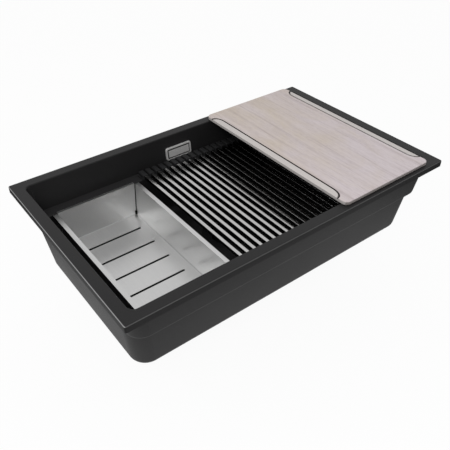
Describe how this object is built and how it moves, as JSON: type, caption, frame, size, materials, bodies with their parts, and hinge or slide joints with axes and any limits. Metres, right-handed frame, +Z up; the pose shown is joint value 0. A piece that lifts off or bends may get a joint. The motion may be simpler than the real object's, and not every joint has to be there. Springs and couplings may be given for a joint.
{
  "type": "kitchen sink",
  "caption": "Rectangular drop-in workstation sink in dark composite with a ledge that carries a sliding colander, a roll-up drying rack and a cutting board on the rim.",
  "frame": {"origin": "middle of the flange's underside, on the worktop's surface", "axes": "+X along the sink's long side, +Y to the back wall with the overflow, +Z up"},
  "size_m": [0.84, 0.51, 0.311],
  "materials": {
    "composite": "matt moulded composite with a fine grain",
    "stainless": "satin stainless steel",
    "coated_steel": "stainless with a dark coating",
    "colander_steel": "brushed stainless sheet",
    "tube_steel": "polished stainless square tube",
    "silicone": "matt black silicone",
    "seal_rubber": "black rubber",
    "fitting_plastic": "moulded polypropylene",
    "nut_plastic": "moulded polypropylene",
    "fastener_steel": "plain stainless",
    "board_wood": "pale greyed wood with fine straight grain"
  },
  "bodies": {
    "sink": {"basin": "composite", "overflow_frame": "stainless", "overflow_cover": "stainless", "overflow_gasket": "seal_rubber", "overflow_outlet": "fitting_plastic", "overflow_outlet_gasket": "seal_rubber", "overflow_outlet_screws": "fastener_steel", "overflow_pipe": "fitting_plastic", "overflow_pipe_seals": "seal_rubber", "overflow_pipe_nuts": "nut_plastic", "waste_upper_seal": "seal_rubber", "waste_lower_seal": "seal_rubber", "waste_dish": "coated_steel", "waste_body": "fitting_plastic", "waste_screw": "fastener_steel"},
    "colander_body": {"colander": "colander_steel"},
    "rack": {"rack_strip_front": "silicone", "rack_strip_back": "silicone", "rack_tube_01": "tube_steel", "rack_tube_02": "tube_steel", "rack_tube_03": "tube_steel", "rack_tube_04": "tube_steel", "rack_tube_05": "tube_steel", "rack_tube_06": "tube_steel", "rack_tube_07": "tube_steel", "rack_tube_08": "tube_steel", "rack_tube_09": "tube_steel", "rack_tube_10": "tube_steel", "rack_tube_11": "tube_steel", "rack_tube_12": "tube_steel", "rack_tube_13": "tube_steel", "rack_tube_14": "tube_steel", "rack_tube_15": "tube_steel", "rack_tube_16": "tube_steel", "rack_tube_17": "tube_steel"},
    "board": {"cutting_board": "board_wood"},
    "basket": {"basket_plug": "seal_rubber", "basket_cup": "coated_steel", "basket_knob": "coated_steel"}
  },
  "joints": [
    {"name": "colander_slide", "type": "slide", "parent": "sink", "child": "colander_body", "axis": [1, 0, 0], "range_m": [-0.02, 0.0105]},
    {"name": "rack_slide", "type": "slide", "parent": "sink", "child": "rack", "axis": [1, 0, 0], "range_m": [0, 0.19]},
    {"name": "board_slide", "type": "slide", "parent": "sink", "child": "board", "axis": [1, 0, 0], "range_m": [-0.487, 0.035]},
    {"name": "basket_lift", "type": "slide", "parent": "sink", "child": "basket", "axis": [0, 0, 1], "range_m": [0, 0.1]}
  ]
}
